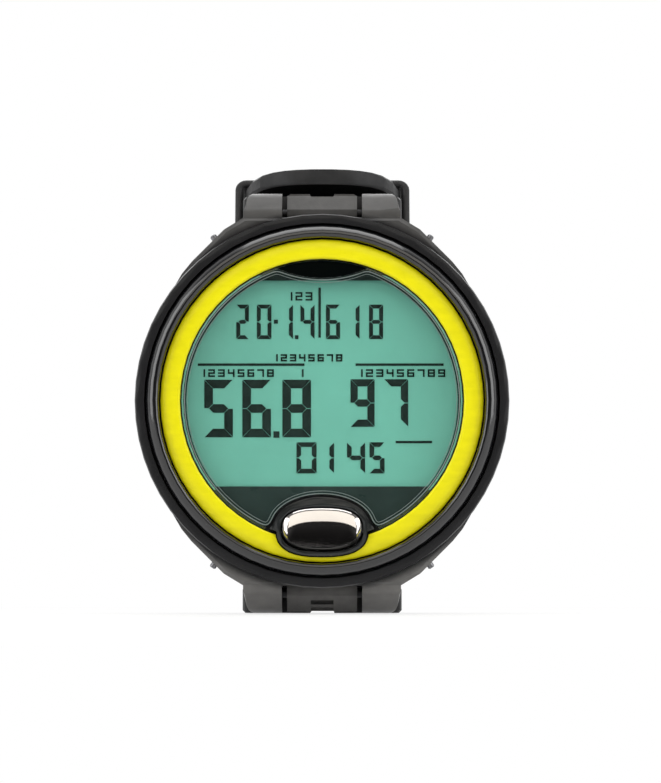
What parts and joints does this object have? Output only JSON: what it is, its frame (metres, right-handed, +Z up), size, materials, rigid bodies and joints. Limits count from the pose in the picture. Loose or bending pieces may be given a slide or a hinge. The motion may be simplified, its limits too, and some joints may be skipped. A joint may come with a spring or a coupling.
{
  "type": "wrist dive computer",
  "caption": "Round wrist dive computer with one push button, standing on its closed rubber strap, with a bayonet battery cover and a pin buckle.",
  "frame": {"origin": "middle of the object's bounding box in X and Y, on the plane that the strap and the lower lugs stand on", "axes": "-Y out of the display towards the viewer, +X to the viewer's right, +Z up towards 12 o'clock"},
  "size_m": [0.0668, 0.0848, 0.0811],
  "materials": {
    "satin": "satin",
    "gloss": "gloss",
    "yellow": "satin",
    "clear": "polished, clear",
    "seal": "smooth",
    "teal": "polished, opaque display glass",
    "white": "satin",
    "rubber": "matt",
    "board": "solder mask",
    "chip": "matt",
    "brass": "bright",
    "chrome": "polished",
    "black": "satin",
    "steel": "brushed"
  },
  "bodies": {
    "case": {"case_body": "satin", "bezel_ring": "gloss", "display_mask": "gloss", "button_surround": "gloss", "accent_ring": "yellow", "lens": "clear", "lens_gasket": "seal", "pressure_sensor_seal": "seal", "button_seal": "seal", "lcd_panel": "teal", "light_guide": "white", "display_carrier": "white", "backlight_led": "white", "lcd_connector": "rubber", "circuit_board": "board", "processor_chip": "chip", "buzzer_disc": "brass", "battery_contact_minus": "brass", "battery_contact_plus": "brass", "side_pin_1": "steel", "side_pin_2": "steel", "side_pin_3": "steel", "side_pin_4": "steel", "board_screw_1": "steel", "board_screw_2": "steel", "board_screw_3": "steel", "crystal_can": "steel", "tact_switch": "steel", "pressure_sensor": "steel", "button_spring": "steel", "battery": "steel", "strap_pin_upper": "steel", "strap_pin_lower": "steel"},
    "button": {"button": "chrome", "button_clip": "steel"},
    "hatch": {"battery_hatch": "black", "battery_hatch_seal": "seal"},
    "long_strap": {"strap_lower": "rubber"},
    "short_strap": {"strap_upper": "rubber", "buckle_pin": "steel"},
    "keeper": {"strap_keeper": "rubber"},
    "buckle": {"buckle_frame": "steel"},
    "prong": {"buckle_prong": "steel"}
  },
  "joints": [
    {"name": "button_press", "type": "slide", "parent": "case", "child": "button", "axis": [0, 1, 0], "range_m": [0, 0.0008], "stiffness_N_per_m": 2500, "springref_m": -0.0006},
    {"name": "battery_hatch_turn", "type": "hinge", "parent": "case", "child": "hatch", "pos_m": [0, -0.01417, 0.0379], "axis": [0, 1, 0], "range_deg": [0, 50]},
    {"name": "strap_lower_pivot", "type": "hinge", "parent": "case", "child": "long_strap", "pos_m": [0, -0.03077, 0.0037], "axis": [-1, 0, 0], "range_deg": [0, 80]},
    {"name": "strap_upper_pivot", "type": "hinge", "parent": "case", "child": "short_strap", "pos_m": [0, -0.03077, 0.0721], "axis": [-1, 0, 0], "range_deg": [0, 1.5]},
    {"name": "keeper_slide", "type": "hinge", "parent": "short_strap", "child": "keeper", "pos_m": [0, -0.03077, 0.0037], "axis": [-1, 0, 0], "range_deg": [-2, 8]},
    {"name": "buckle_pivot", "type": "hinge", "parent": "short_strap", "child": "buckle", "pos_m": [0, 0.02469, 0.05024], "axis": [1, 0, 0], "range_deg": [0, 70]},
    {"name": "prong_pivot", "type": "hinge", "parent": "short_strap", "child": "prong", "pos_m": [0, 0.02469, 0.05024], "axis": [-1, 0, 0], "range_deg": [0, 45]}
  ]
}
